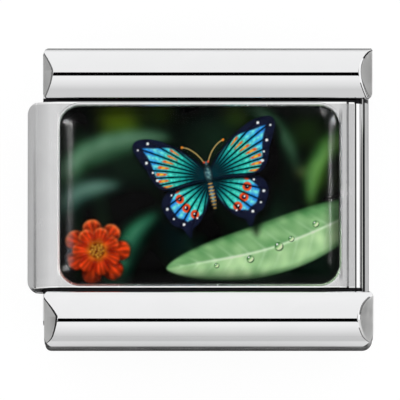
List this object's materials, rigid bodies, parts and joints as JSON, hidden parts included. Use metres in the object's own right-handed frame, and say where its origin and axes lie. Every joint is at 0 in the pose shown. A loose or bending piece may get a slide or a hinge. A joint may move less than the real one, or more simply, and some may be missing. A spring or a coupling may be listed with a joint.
{
  "type": "modular bracelet charm link",
  "caption": "Flat spring-jointed bracelet link: a picture under a clear dome between rounded polished rails, joined by U-shaped clips to a back sleeve.",
  "frame": {"origin": "under the middle of the link's box, on the flat underside of the back sleeve", "axes": "+X along the bracelet from the round nose to the recessed end, +Y across the bracelet, +Z out of the face"},
  "size_m": [0.0102, 0.0088, 0.0041],
  "materials": {
    "satin_steel": "satin stainless steel with a fine lengthwise grain",
    "polished_steel": "mirror-polished stainless steel",
    "drawn_steel": "drawn stainless strip, cut and bent",
    "spring_steel": "thin rolled spring steel",
    "printed_picture": "full-colour print on a thin panel",
    "clear_resin": "clear, glossy cast resin"
  },
  "bodies": {
    "face": {"face_sleeve": "satin_steel", "face_cover": "satin_steel", "picture_panel": "printed_picture", "clear_dome": "clear_resin", "rail_upper": "polished_steel", "rail_lower": "polished_steel", "leaf_spring_face": "spring_steel"},
    "left_clips": {"clip_left_upper": "drawn_steel", "clip_left_lower": "drawn_steel"},
    "right_clips": {"clip_right_upper": "drawn_steel", "clip_right_lower": "drawn_steel"},
    "back": {"back_sleeve": "satin_steel", "leaf_spring_back": "spring_steel"}
  },
  "joints": [
    {"name": "left_clip_swing", "type": "hinge", "parent": "face", "child": "left_clips", "pos_m": [-0.00262, 0, 0.00265], "axis": [0, 1, 0], "range_deg": [-24, 24], "stiffness_Nm_per_rad": 0.004, "deforming": ["leaf_spring_face", "leaf_spring_back"]},
    {"name": "right_clip_swing", "type": "hinge", "parent": "face", "child": "right_clips", "pos_m": [0.0023, 0, 0.00265], "axis": [0, 1, 0], "range_deg": [-24, 24]},
    {"name": "back_follow", "type": "hinge", "parent": "left_clips", "child": "back", "pos_m": [-0.00262, 0, 0.00075], "axis": [0, 1, 0], "range_deg": [-24, 24]}
  ],
  "couplings": [
    {"joint": "right_clip_swing", "follows": "left_clip_swing", "ratio": 1},
    {"joint": "back_follow", "follows": "left_clip_swing", "ratio": -1}
  ]
}
